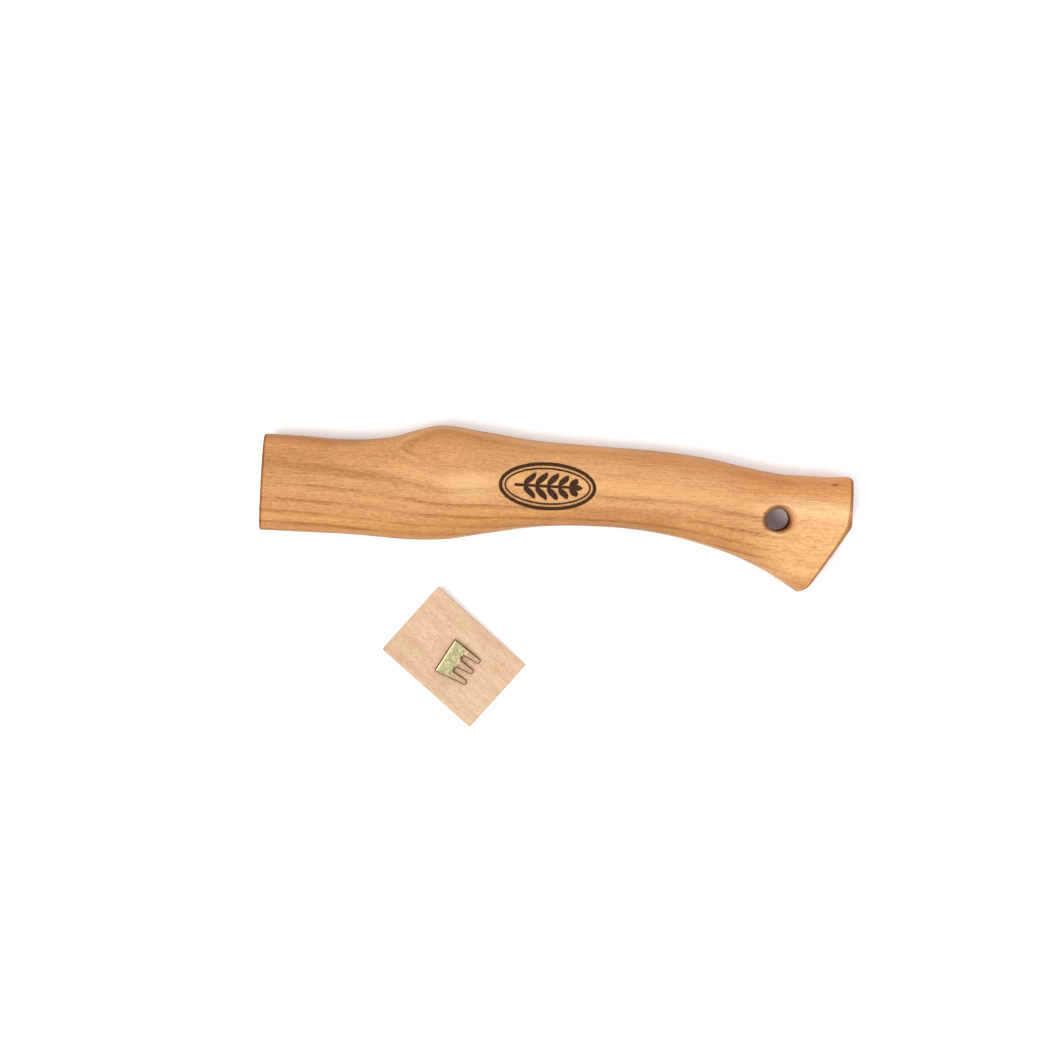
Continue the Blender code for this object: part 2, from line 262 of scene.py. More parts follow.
class Graph:
    """Short calls for building one material's nodes."""

    def __init__(self, name):
        self.material = bpy.data.materials.new(name)
        self.material.use_nodes = True
        self.tree = self.material.node_tree
        self.shader = self.tree.nodes["Principled BSDF"]

    def feed(self, socket, value):
        if isinstance(value, bpy.types.NodeSocket):
            self.tree.links.new(value, socket)
        else:
            socket.default_value = value

    def math(self, operation, *values):
        node = self.tree.nodes.new("ShaderNodeMath")
        node.operation = operation
        for socket, value in zip(node.inputs, values):
            self.feed(socket, value)
        return node.outputs[0]

    def add(self, *values):
        total = values[0]
        for value in values[1:]:
            total = self.math("ADD", total, value)
        return total

    def times(self, *values):
        total = values[0]
        for value in values[1:]:
            total = self.math("MULTIPLY", total, value)
        return total

    def less(self, first, second):
        return self.math("SUBTRACT", first, second)

    def vector(self, operation, *values):
        node = self.tree.nodes.new("ShaderNodeVectorMath")
        node.operation = operation
        for socket, value in zip(node.inputs, values):
            self.feed(socket, value)
        return node.outputs[0]

    def split(self, vector):
        node = self.tree.nodes.new("ShaderNodeSeparateXYZ")
        self.feed(node.inputs[0], vector)
        return node.outputs

    def join(self, x, y, z):
        node = self.tree.nodes.new("ShaderNodeCombineXYZ")
        for socket, value in zip(node.inputs, (x, y, z)):
            self.feed(socket, value)
        return node.outputs[0]

    def noise(self, vector, stretch, detail=2.0, roughness=0.5):
        """Noise from 0 to 1 about 0.5, with stretch as its cells per millimetre in x, y, z."""
        node = self.tree.nodes.new("ShaderNodeTexNoise")
        self.feed(node.inputs["Vector"], self.vector("MULTIPLY", vector, stretch))
        node.inputs["Scale"].default_value = 1.0
        node.inputs["Detail"].default_value = detail
        node.inputs["Roughness"].default_value = roughness
        return node.outputs["Fac"]

    def swing(self, noise_value, size):
        """A noise's swing about zero, size high in all."""
        return self.times(self.less(noise_value, 0.5), size)

    def step(self, value, low, high):
        """0 below low, 1 above high, smooth between; the other way round if low > high."""
        node = self.tree.nodes.new("ShaderNodeMapRange")
        node.interpolation_type = "SMOOTHSTEP"
        start, end = (0.0, 1.0) if low < high else (1.0, 0.0)
        settings = (value, min(low, high), max(low, high), start, end)
        for socket, setting in zip(node.inputs, settings):
            self.feed(socket, setting)
        return node.outputs[0]

    def window(self, value, rise, fall):
        """A step up over rise times a step down over fall, each a low and a high end."""
        return self.times(self.step(value, *rise), self.step(value, fall[1], fall[0]))

    def share(self, least, value, rest):
        """least where value is 0, and least + rest where it is 1."""
        return self.add(least, self.times(value, rest))

    def mix(self, share, first, second):
        node = self.tree.nodes.new("ShaderNodeMix")
        node.data_type = "RGBA"
        self.feed(node.inputs["Factor"], share)
        self.feed(node.inputs[MIX_COLOUR_A], first)
        self.feed(node.inputs[MIX_COLOUR_B], second)
        return node.outputs[MIX_COLOUR_RESULT]

    def tint(self, share, colour, factors):
        """The colour multiplied by factors, as far as share says."""
        return self.mix(share, colour, self.vector("MULTIPLY", colour, factors))

    def from_spot(self, point, centre, stretch):
        """Distance from centre, with stretch as its units per millimetre in x, y, z."""
        node = self.tree.nodes.new("ShaderNodeVectorMath")
        node.operation = "LENGTH"
        away = self.vector("SUBTRACT", point, centre)
        self.feed(node.inputs[0], self.vector("MULTIPLY", away, stretch))
        return node.outputs["Value"]

    def place(self, matrix):
        """The surface point in millimetres, in the frame that matrix places in the row."""
        coordinates = self.tree.nodes.new("ShaderNodeTexCoord")
        inverse = matrix.inverted()
        mapping = self.tree.nodes.new("ShaderNodeMapping")
        self.feed(mapping.inputs["Vector"], coordinates.outputs["Object"])
        mapping.inputs["Rotation"].default_value = inverse.to_euler()
        mapping.inputs["Scale"].default_value = (TO_MM,) * 3
        mapping.inputs["Location"].default_value = inverse.to_translation() * TO_MM
        return mapping.outputs[0]

    def facing(self):
        """The surface's outward normal in the row's frame, as x, y, z."""
        geometry = self.tree.nodes.new("ShaderNodeNewGeometry")
        return self.split(geometry.outputs["Normal"])

    def finish(self, colour, roughness, relief, depth):
        """Joins a colour, a roughness and a relief of some depth in metres to the shader."""
        bump = self.tree.nodes.new("ShaderNodeBump")
        bump.inputs["Strength"].default_value = 1.0
        bump.inputs["Distance"].default_value = depth
        self.feed(bump.inputs["Height"], relief)
        self.feed(self.shader.inputs["Base Color"], colour)
        self.feed(self.shader.inputs["Roughness"], roughness)
        self.feed(self.shader.inputs["Normal"], bump.outputs[0])


# ---------------------------------------------------------------- handle's shape


def smooth_through(points, x):
    """Heights at x of the smooth curve through points, level at each of its peaks and dips."""
    px, py = np.array(points).T
    reach = np.diff(px)
    rise = np.diff(py) / reach
    inner = (rise[:-1] * reach[1:] + rise[1:] * reach[:-1]) / (reach[1:] + reach[:-1])
    inner[rise[:-1] * rise[1:] <= 0] = 0.0
    tangent = np.concatenate([rise[:1], inner, rise[-1:]])
    i = np.clip(np.searchsorted(px, x) - 1, 0, len(reach) - 1)
    t = (x - px[i]) / reach[i]
    start = (1 + 2 * t) * (1 - t) ** 2 * py[i] + t * (1 - t) ** 2 * reach[i] * tangent[i]
    end = t * t * (3 - 2 * t) * py[i + 1] + t * t * (t - 1) * reach[i] * tangent[i + 1]
    return start + end


def section(x, angle, inset):
    """(y, z) of the handle's cross-sections at x, drawn in by inset; the angle runs round
    from the back over the upper side to the belly and back under."""
    back = smooth_through(BACK, x)
    belly = smooth_through(BELLY, x)
    power = 2 / smooth_through(SQUARENESS, x)
    across = np.sign(np.cos(angle)) * np.abs(np.cos(angle)) ** power
    through = np.sign(np.sin(angle)) * np.abs(np.sin(angle)) ** power
    egg = 1 + np.minimum(0.0, EYE_EGG * np.maximum(0.0, 1 - x / EYE_LENGTH) * across)
    y = (back + belly) / 2 + across * ((back - belly) / 2 - inset)
    z = through * (smooth_through(THICKNESS, x) / 2 - inset) * egg
    return y, z


def knob_end(y):
    """X of the end of the knob at y: rounded corner, straight face, slanted face, round toe."""
    slope = math.hypot(1, SLANT)
    toe_y = TOE_LOW + TOE_ROUND
    toe_x = LENGTH + SLANT * (toe_y - SLANT_TOP) - TOE_ROUND * slope
    toe = toe_x + np.sqrt(np.maximum(0.0, TOE_ROUND**2 - (toe_y - y) ** 2))
    corner_y = KNOB_TOP - KNOB_ROUND
    corner = LENGTH - KNOB_ROUND + np.sqrt(np.maximum(0.0, KNOB_ROUND**2 - (y - corner_y) ** 2))
    faces = LENGTH + SLANT * np.minimum(0.0, y - SLANT_TOP)
    ends = np.where(y > corner_y, corner, faces)
    return np.where(y < toe_y - TOE_ROUND * SLANT / slope, toe, ends)


def line_end(angle, inset):
    """X at which each lengthwise line of the handle meets the knob's end, by halving."""
    halvings = 40
    low = np.full_like(angle, KNOB_START)
    high = np.full_like(angle, LENGTH)
    for _ in range(halvings):
        middle = (low + high) / 2
        inside = knob_end(section(middle, angle, inset)[0]) > middle
        low = np.where(inside, middle, low)
        high = np.where(inside, high, middle)
    return high


def hump(y, middle, reach):
    """1 at the middle, falling smoothly to nothing a few reaches away."""
    return np.exp(-(((y - middle) / reach) ** 2))


def knob_ease(y):
    """How far the knob's end edges are eased at y: most where its two faces meet, and least
    at the tip of the toe."""
    more = MORE_EASE_BETWEEN_FACES * hump(y, SLANT_TOP + 0.001, 0.006)
    less = LESS_EASE_AT_TIP * hump(y, TOE_LOW, 0.0025)
    return KNOB_EASE + more - less


def handle_rings(stations, around, ease_rings):
    """Rings of points along the handle, closer together where its end edges are eased."""
    angle = np.arange(around) * 2 * math.pi / around
    turns = np.linspace(0, math.pi / 2, ease_rings + 1)
    rings = []
    for turn in turns[::-1]:
        inset = EYE_EASE * (1 - math.cos(turn))
        x = np.full(around, EYE_EASE * (1 - math.sin(turn)))
        rings.append(np.stack([x, *section(x, angle, inset)], axis=1))
    whole_end = line_end(angle, 0.0)
    ease = knob_ease(section(whole_end, angle, 0.0)[0])
    body_end = whole_end - ease
    for share in np.linspace(0, 1, stations + 1)[1:-1]:
        even = EYE_EASE + (LENGTH - EYE_EASE) * share
        beyond = max(0.0, even - KNOB_START) / (LENGTH - KNOB_START)
        x = np.where(even > KNOB_START, KNOB_START + beyond * (body_end - KNOB_START), even)
        rings.append(np.stack([x, *section(x, angle, 0.0)], axis=1))
    for turn in turns:
        inset = ease * (1 - math.cos(turn))
        x = line_end(angle, inset) - ease * (1 - math.sin(turn))
        rings.append(np.stack([x, *section(x, angle, inset)], axis=1))
    return rings


def hand_shaping(point):
    """Small unevenness that shaping by hand and belt leaves, as a distance along the normal."""
    broad = noise.noise(Vector((point.x * 45, point.y * 75, point.z * 75)))
    fine = noise.noise(Vector((point.x * 160, point.y * 260, point.z * 260 + 7)))
    return BROAD_UNEVENNESS * broad + FINE_UNEVENNESS * fine


def object_from(name, edit, smooth_angle=None):
    """Makes an object of an edited mesh, shaded smooth up to an angle if one is given."""
    mesh = bpy.data.meshes.new(name)
    edit.to_mesh(mesh)
    edit.free()
    obj = bpy.data.objects.new(name, mesh)
    bpy.context.scene.collection.objects.link(obj)
    if smooth_angle is not None:
        mesh.shade_smooth()
        mesh.set_sharp_from_angle(angle=smooth_angle)
    return obj


def end_cap(edit, ring):
    """Closes a ring with rungs from each upper point to the lower point under it."""
    count = len(ring)
    half = count // 2
    for i in range(half):
        corners = [ring[i], ring[i + 1], ring[(count - i - 1) % count], ring[(count - i) % count]]
        edit.faces.new([v for k, v in enumerate(corners) if v not in corners[:k]])


def handle_body():
    """The handle without its kerf and hole, with the hand's unevenness on all but its ends."""
    ease_rings = 6
    even_rings = ease_rings + 2
    edit = bmesh.new()
    rows = []
    for ring in handle_rings(stations=260, around=144, ease_rings=ease_rings):
        rows.append([edit.verts.new(point) for point in ring])
    for row, following in zip(rows, rows[1:]):
        for i in range(len(row)):
            j = (i + 1) % len(row)
            edit.faces.new((row[i], following[i], following[j], row[j]))
    end_cap(edit, rows[0])
    end_cap(edit, rows[-1])
    bmesh.ops.recalc_face_normals(edit, faces=edit.faces)
    edit.normal_update()
    shaped = [vertex for row in rows[even_rings:-even_rings] for vertex in row]
    moves = [(vertex, vertex.normal * hand_shaping(vertex.co)) for vertex in shaped]
    for vertex, move in moves:
        vertex.co += move
    bmesh.ops.translate(edit, verts=edit.verts, vec=HANDLE_ORIGIN)
    return edit


def kerf_cutter():
    """A block as thick as the kerf, wider than the eye and open past its end."""
    overshoot = 0.010
    wider_than_eye = 0.080
    size = (KERF_DEPTH + overshoot, wider_than_eye, KERF_WIDTH)
    centre = HANDLE_ORIGIN + Vector(((KERF_DEPTH - overshoot) / 2, 0.0, 0.0))
    edit = bmesh.new()
    bmesh.ops.create_cube(edit, size=1.0)
    edit.transform(Matrix.Translation(centre) @ Matrix.Diagonal((*size, 1.0)))
    return object_from("kerf_cutter", edit)


def hang_hole_profile():
    """(radius, z) of the hole's cutter: a bore whose mouths round over into the handle's
    sides, and that opens wide past them."""
    overshoot = 0.004
    opening = 0.0075
    skin = 0.0001
    surface = float(section(np.array([HOLE.x]), np.array([math.pi / 2]), 0.0)[1][0])
    reach = HOLE_RADIUS + HOLE_MOUTH
    rounding = np.radians(np.linspace(22, 90, 9))
    lip = reach - HOLE_MOUTH * math.sin(rounding[0])
    upper = [(0.0, surface + overshoot), (lip + opening, surface + overshoot)]
    upper += [
        (reach - HOLE_MOUTH * math.sin(turn), surface - HOLE_MOUTH * (1 - math.cos(turn)) + skin)
        for turn in rounding
    ]
    return upper + [(radius, -z) for radius, z in reversed(upper)]


def hang_hole_cutter():
    """The profile turned into a solid and drawn out a little along the handle. It leaves the
    wood a little narrower, and off its axis."""
    merge = 0.000001
    edit = bmesh.new()
    line = [edit.verts.new((radius, 0.0, z)) for radius, z in hang_hole_profile()]
    edges = [edit.edges.new(pair) for pair in zip(line, line[1:])]
    bmesh.ops.spin(
        edit, geom=line + edges, cent=(0, 0, 0), axis=(0, 0, 1), angle=2 * math.pi, steps=64,
    )
    bmesh.ops.remove_doubles(edit, verts=edit.verts, dist=merge)
    bmesh.ops.recalc_face_normals(edit, faces=edit.faces)
    bmesh.ops.scale(edit, verts=edit.verts, vec=(HOLE_STRETCH, 1.0, 1.0))
    underside = [v for v in edit.verts if v.co.z < 0]
    bmesh.ops.scale(edit, verts=underside, vec=(HOLE_EXIT_SHARE, HOLE_EXIT_SHARE, 1.0))
    bmesh.ops.translate(edit, verts=underside, vec=(0.0, HOLE_EXIT_SHIFT, 0.0))
    bmesh.ops.translate(edit, verts=edit.verts, vec=HANDLE_ORIGIN + HOLE)
    return object_from("hang_hole_cutter", edit)


def cut(obj, cutters):
    """Cuts each cutter out of the object's mesh, and removes it."""
    for cutter in cutters:
        modifier = obj.modifiers.new(cutter.name, "BOOLEAN")
        modifier.operation = "DIFFERENCE"
        modifier.solver = "EXACT"
        modifier.object = cutter
    graph = bpy.context.evaluated_depsgraph_get()
    mesh = bpy.data.meshes.new_from_object(obj.evaluated_get(graph))
    obj.modifiers.clear()
    obj.data = mesh
    for cutter in cutters:
        bpy.data.objects.remove(cutter)


def make_handle():
    handle = object_from("hickory_handle", handle_body())
    cut(handle, [kerf_cutter(), hang_hole_cutter()])
    handle.data.shade_smooth()
    handle.data.set_sharp_from_angle(angle=math.radians(32))
    handle.data.materials.append(hickory())
    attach(handle, "handle")
    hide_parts("handle")


# ---------------------------------------------------------------- wooden wedge's shape


def eased_axis(half, radius, grid):
    """Grid lines from -half to half, close together over each rounded edge."""
    edge_lines = 4
    turns = [math.pi / 2 * k / edge_lines for k in range(edge_lines + 1)]
    edge = [radius * (1 - math.cos(turn)) for turn in turns]
    inner = half - radius
    count = max(2, round(2 * inner / grid))
    middle = [-inner + 2 * inner * k / count for k in range(1, count)]
    return [-half + e for e in edge] + middle + [half - e for e in reversed(edge)]


def wedge_thickness(x):
    return WEDGE_THICK + (WEDGE_THIN - WEDGE_THICK) * (x / WEDGE_LENGTH + 0.5)


def gridded_block(half):
    """A block's six faces, each on a grid whose lines crowd towards its edges."""
    merge = 0.000001
    lines = [eased_axis(h, WEDGE_EDGE, WEDGE_GRID) for h in half]
    edit = bmesh.new()
    for axis in range(3):
        first, second = [a for a in range(3) if a != axis]
        for side in (-1, 1):
            grid = []
            for a in lines[first]:
                row = []
                for b in lines[second]:
                    point = Vector()
                    point[axis] = side * half[axis]
                    point[first] = a
                    point[second] = b
                    row.append(edit.verts.new(point))
                grid.append(row)
            for row, following in zip(grid, grid[1:]):
                for k in range(len(row) - 1):
                    edit.faces.new((row[k], following[k], following[k + 1], row[k + 1]))
    bmesh.ops.remove_doubles(edit, verts=edit.verts, dist=merge)
    return edit


def wedge_body():
    """A block with rounded edges and a sloping top, its faces a little uneven from the saw."""
    half = Vector((WEDGE_LENGTH / 2, WEDGE_WIDTH / 2, WEDGE_THICK / 2))
    edit = gridded_block(half)
    for vertex in edit.verts:
        core = [max(-h + WEDGE_EDGE, min(h - WEDGE_EDGE, c)) for h, c in zip(half, vertex.co)]
        core = Vector(core)
        out = vertex.co - core
        if out.length > 0:
            vertex.co = core + out.normalized() * WEDGE_EDGE
        uneven = SAWN_FACE_UNEVENNESS * noise.noise(vertex.co * 400)
        height = (vertex.co.z + half.z) / (2 * half.z)
        vertex.co.z = height * (wedge_thickness(vertex.co.x) + uneven)
        along = noise.noise(Vector((vertex.co.x * 60, 3.0 * height, 1.0)))
        vertex.co.y += SAWN_SIDE_UNEVENNESS * along
        across = noise.noise(Vector((4.0 * height, vertex.co.y * 60, 5.0)))
        vertex.co.x += SAWN_SIDE_UNEVENNESS * across
    bmesh.ops.recalc_face_normals(edit, faces=edit.faces)
    edit.transform(WEDGE_PLACE)
    return edit


def make_wedge():
    wedge = object_from("beech_wedge", wedge_body(), math.radians(50))
    wedge.data.materials.append(beech())
    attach(wedge, "wooden_wedge")
    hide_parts("wooden_wedge")


# ---------------------------------------------------------------- metal wedge's shape


def arc(centre_x, centre_y, radius, start, end, steps=14):
    """Points along an arc from start to end, two angles in degrees."""
    turns = [math.radians(start + (end - start) * k / steps) for k in range(steps + 1)]
    return [(centre_x + radius * math.cos(t), centre_y + radius * math.sin(t)) for t in turns]


def nail_outline():
    """The comb from above: straight head, sides that draw in, three tapered legs."""
    side_normal = 84
    corner = 0.0005
    tip_radius = NAIL_LEG / 2
    tip_x = NAIL_LENGTH - tip_radius
    half = arc(corner, NAIL_HEAD_WIDTH / 2 - corner, corner, 180, side_normal, 4)
    half += arc(tip_x, NAIL_TIP_WIDTH / 2 - tip_radius, tip_radius, side_normal, -90)
    half += arc(NAIL_ROOT + NAIL_GAP / 2, NAIL_GAP_MIDDLE, NAIL_GAP / 2, 90, 270)
    half += arc(tip_x, 0.0, tip_radius, 90, 0)
    return half + [(x, -y) for x, y in reversed(half[:-1])]


def nail_thickness(x):
    share = max(0.0, x - NAIL_ROOT) / (NAIL_LENGTH - NAIL_ROOT)
    return NAIL_HEAD_THICKNESS + (NAIL_TIP_THICKNESS - NAIL_HEAD_THICKNESS) * share


def nail_plate():
    """The comb as a plate of even thickness with rounded edges."""
    curve = bpy.data.curves.new("brass_nail", "CURVE")
    curve.dimensions = "2D"
    curve.fill_mode = "BOTH"
    curve.extrude = NAIL_HEAD_THICKNESS / 2 - NAIL_ROUNDING
    curve.bevel_depth = NAIL_ROUNDING
    curve.bevel_resolution = 3
    curve.offset = -NAIL_ROUNDING
    outline = nail_outline()
    spline = curve.splines.new("POLY")
    spline.points.add(len(outline) - 1)
    for point, (x, y) in zip(spline.points, outline):
        point.co = (x, y, 0.0, 1.0)
    spline.use_cyclic_u = True
    plate = bpy.data.objects.new("plate", curve)
    bpy.context.scene.collection.objects.link(plate)
    bpy.context.view_layer.update()
    graph = bpy.context.evaluated_depsgraph_get()
    mesh = bpy.data.meshes.new_from_object(plate.evaluated_get(graph))
    bpy.data.objects.remove(plate)
    return mesh


def nail_body(place):
    """The plate tapered in thickness towards its tips, on lines cut across it for that."""
    end_margin = 0.001
    merge = 0.000002
    on_plane = 0.000001
    edit = bmesh.new()
    edit.from_mesh(nail_plate())
    bmesh.ops.remove_doubles(edit, verts=edit.verts, dist=merge)
    for cut_x in np.linspace(end_margin, NAIL_LENGTH - end_margin, 12):
        everything = [*edit.verts, *edit.edges, *edit.faces]
        bmesh.ops.bisect_plane(
            edit, geom=everything, dist=on_plane, plane_co=(cut_x, 0, 0), plane_no=(1, 0, 0)
        )
    for vertex in edit.verts:
        height = vertex.co.z / NAIL_HEAD_THICKNESS + 0.5
        vertex.co.z = height * nail_thickness(vertex.co.x)
    bmesh.ops.recalc_face_normals(edit, faces=edit.faces)
    edit.transform(place)
    return edit


def make_nail():
    on_top = Matrix.Translation((0, 0, (WEDGE_THICK + WEDGE_THIN) / 2))
    tilt = Matrix.Rotation(WEDGE_SLOPE, 4, "Y")
    own = Matrix.Translation(NAIL_PLACE) @ Matrix.Rotation(NAIL_TURN, 4, "Z")
    place = WEDGE_PLACE @ on_top @ tilt @ own
    nail = object_from("brass_nail", nail_body(place), math.radians(40))
    weighted = nail.modifiers.new("flat_faces_stay_flat", "WEIGHTED_NORMAL")
    weighted.keep_sharp = True
    nail.data.materials.append(brass(place))
    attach(nail, "nail")
    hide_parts("three_leg_nail")


# ---------------------------------------------------------------- hickory


def grow_rings(g, wood):
    """Distance from a pith that runs nearly along the handle, and the rings about it, each
    with a dark start of porous early wood and a denser end."""
    behind_pith = g.add(wood.y, g.times(wood.x, PITH_LEAN), -PITH_BEHIND)
    above_pith = g.add(wood.z, -PITH_ABOVE)
    squares = g.add(g.times(behind_pith, behind_pith), g.times(above_pith, above_pith))
    wander = g.noise(wood.place, (0.018, 0.05, 0.05), detail=1.0)
    wood.waver = g.noise(wood.place, (0.05, 0.35, 0.35), detail=2.0)
    wood.radius = g.add(g.math("SQRT", squares), g.swing(wander, 3.0), g.swing(wood.waver, 0.9))
    ring = g.math("DIVIDE", g.add(wood.radius, -FIRST_RING), RING_WIDTH)
    in_ring = g.math("FRACT", ring)
    ring_number = g.math("FLOOR", ring)
    wood.ring_pores = g.window(in_ring, (0.0, 0.07), (0.06, 0.47))
    wood.late = g.step(in_ring, 0.60, 1.0)
    wood.per_ring = g.noise(g.join(ring_number, 0.5, 0.5), (3.7, 1.0, 1.0), detail=0.0)


def mark_regions(g, wood):
    """Where the grain shows differently: the sapwood of the knob, the grip's upper part and
    belly, and the eye's upper part."""
    wood.blotch = g.noise(wood.place, (0.03, 0.09, 0.09), detail=2.0)
    wood.sap = g.step(g.add(wood.x, g.swing(wood.blotch, 16.0)), 200.0, 230.0)
    wood.grip = g.times(g.window(wood.x, (90.0, 125.0), (185.0, 215.0)), g.step(wood.y, -5.0, 1.0))
    below_grip = g.window(wood.x, (124.0, 138.0), (170.0, 182.0))
    wood.grip_belly = g.times(below_grip, g.step(wood.y, -1.0, -5.0))
    wood.upper_eye = g.times(g.step(wood.y, 1.0, 6.0), g.step(wood.x, 66.0, 48.0))


def fade_early_wood(g, wood):
    """How strongly each stretch of early wood shows."""
    fading = g.noise(wood.place, (0.022, 0.16, 0.16), detail=1.0)
    strength = g.add(g.step(fading, 0.30, 0.62), g.times(wood.grip, -0.45))
    early = g.times(wood.ring_pores, g.share(0.25, g.math("MAXIMUM", strength, 0.0), 0.75))
    early = g.times(early, g.share(1.0, wood.upper_eye, -0.6))
    early = g.times(early, g.share(0.30, g.step(wood.radius, 46.0, 47.0), 0.70))
    wood.early = g.times(early, g.share(1.0, wood.sap, -0.75))


def grow_fibres(g, wood):
    """Fibres, speckle and pores, all long along the grain."""
    wood.fibre = g.noise(wood.place, (0.035, 1.3, 1.3), detail=3.0, roughness=0.6)
    wood.fine_fibre = g.noise(wood.place, (0.12, 5.0, 5.0), detail=2.0, roughness=0.6)
    wood.speckle = g.noise(wood.place, (0.55, 1.7, 1.7), detail=2.0, roughness=0.6)
    pore_field = g.noise(wood.place, (0.16, 3.2, 3.2), detail=1.0)
    wood.pores = g.step(g.less(pore_field, g.share(0.66, wood.early, -0.09)), 0.0, 0.05)


def grain_colour(g, wood):
    """A dark to light colour by a tone, low where the early wood shows and high in one light
    band and over the swelling, where a painted highlight also makes it paler."""
    from_swelling = g.from_spot(wood.place, (88.0, 3.5, 12.0), (0.055, 0.10, 0.05))
    # A painted highlight over the swelling: the tone is raised and the colour made paler there.
    swelling = g.step(g.add(from_swelling, g.less(wood.fibre, 0.5)), 1.0, 0.2)
    light_band = g.window(wood.radius, (43.2, 44.7), (45.6, 46.9))
    tone = g.add(
        0.56,
        g.times(wood.early, -0.47),
        g.times(wood.late, -0.08),
        g.swing(wood.per_ring, 0.30),
        g.swing(wood.fibre, 0.65),
        g.swing(wood.fine_fibre, 0.50),
        g.swing(wood.speckle, 0.90),
        g.times(wood.pores, -0.25),
    )
    tone = g.add(tone, g.times(light_band, 0.20), g.times(swelling, 0.30))
    short_of_back = g.step(wood.y, 19.0, 14.0)
    tone = g.add(tone, g.times(wood.grip, 0.12), g.times(wood.upper_eye, short_of_back, -0.22))
    tone = g.add(tone, g.times(wood.grip_belly, -0.16))
    colour = g.mix(g.step(tone, -0.25, 1.25), HICKORY_DARK, HICKORY_LIGHT)
    return g.tint(swelling, colour, SWELLING_HIGHLIGHT)


def pointed_figure(g, wood, colour):
    """Where the swelling cuts through the rings they close to a light pointed curve with a
    dark one inside it."""
    from_axis = g.add(wood.y, -18.4)
    tangent = g.math("SQRT", g.add(1.0, g.times(from_axis, from_axis, 0.30)))
    bend = g.times(from_axis, from_axis, -0.27)
    from_curve = g.add(wood.x, -57.3, bend, g.swing(wood.waver, 3.0))
    from_curve = g.math("DIVIDE", from_curve, tangent)
    figure = g.times(g.step(wood.x, 71.0, 62.0), g.step(wood.z, -1.0, 1.5))
    light_line = g.times(figure, g.step(g.math("ABSOLUTE", from_curve), 1.1, 0.2))
    light_line = g.times(light_line, g.share(0.5, g.step(wood.y, 15.5, 18.5), 0.5))
    light_line = g.times(light_line, g.share(0.45, g.step(wood.speckle, 0.38, 0.60), 0.55))
    colour = g.tint(light_line, colour, FIGURE_LIGHTER)
    dark_line = g.times(figure, g.step(from_curve, 1.0, 1.8), g.step(from_curve, 4.5, 2.2), 0.8)
    return g.tint(dark_line, colour, FIGURE_DARKER)


def heart_and_sap(g, wood, colour):
    """The heartwood yellows towards the belly; towards the back it is painted darker and redder, as
    shade. The knob is sapwood, lighter and yellower, its paleness partly a painted sheen, with a
    pale streak that bends down past the hang hole."""
    yellow = g.step(g.add(wood.y, g.swing(wood.blotch, 10.0)), 3.0, -11.0)
    colour = g.tint(yellow, colour, BELLY_YELLOWER)
    # Painted shade: the back is darkened and reddened.
    red = g.times(g.step(g.add(wood.y, g.swing(wood.blotch, 14.0)), 6.0, 22.0), 0.22)
    colour = g.tint(red, colour, BACK_SHADE_REDDER)
    knob_back = g.times(g.step(wood.x, 190.0, 215.0), g.step(wood.y, 3.0, 9.0))
    colour = g.tint(knob_back, colour, KNOB_BACK_WARMER)
    # The knob's sapwood paleness, made stronger as a painted sheen.
    sap = g.times(wood.sap, g.step(wood.y, 9.5, 0.0), g.step(wood.y, -31.0, -25.0))
    colour = g.tint(sap, colour, SAPWOOD_AND_SHEEN_PALER)
    past_neck = g.math("MAXIMUM", g.add(wood.x, -211.0), 0.0)
    bend = g.times(past_neck, past_neck, 0.0037)
    from_streak = g.add(wood.y, -6.2, bend, g.swing(wood.waver, 2.0))
    streak = g.times(g.step(g.math("ABSOLUTE", from_streak), 1.7, 0.4), g.step(wood.x, 196.0, 214.0))
    streak = g.times(streak, g.step(wood.z, -1.0, 3.0))
    return g.tint(g.times(streak, 0.6), colour, STREAK_PALER)


def flanks_and_ends(g, wood, colour):
    """The flanks are painted darker, as shade. End grain drinks the oil and is darker still, a
    darkening deepened as painted shade, with its rings drawn by their open pores; its steepest faces
    get more painted shade."""
    nx, ny, _ = g.facing()
    # Painted shade on the flanks, set by the way they face.
    belly_flank_shade = g.times(g.step(ny, -0.22, -0.85), 0.6)
    colour = g.tint(belly_flank_shade, colour, BELLY_FLANK_SHADE)
    knob_neck = g.window(wood.x, (140.0, 165.0), (215.0, 232.0))
    away_from_grip = g.math("MAXIMUM", g.step(wood.x, 60.0, 35.0), knob_neck)
    back_flank_shade = g.times(g.step(ny, 0.15, 0.80), g.share(0.6, away_from_grip, 0.4))
    colour = g.tint(back_flank_shade, colour, BACK_FLANK_SHADE)
    eye_end = g.times(g.step(nx, -0.05, -0.40), g.step(wood.x, 4.0, 3.0))
    knob_end_face = g.times(g.step(nx, 0.03, 0.24), g.step(wood.x, 222.0, 226.0))
    wood.end = g.add(eye_end, knob_end_face)
    # End grain darker, deepened as painted shade.
    colour = g.tint(g.times(wood.end, 0.9), colour, END_GRAIN_AND_SHADE_DARKER)
    broken = g.share(0.35, g.step(wood.speckle, 0.58, 0.42), 0.65)
    colour = g.tint(g.times(wood.end, wood.ring_pores, broken), colour, OPEN_PORES_DARKER)
    # More painted shade where the end faces are steepest.
    steep = g.times(wood.end, g.step(g.math("ABSOLUTE", nx), 0.45, 0.80))
    return g.tint(g.times(steep, 0.5), colour, STEEP_END_SHADE)


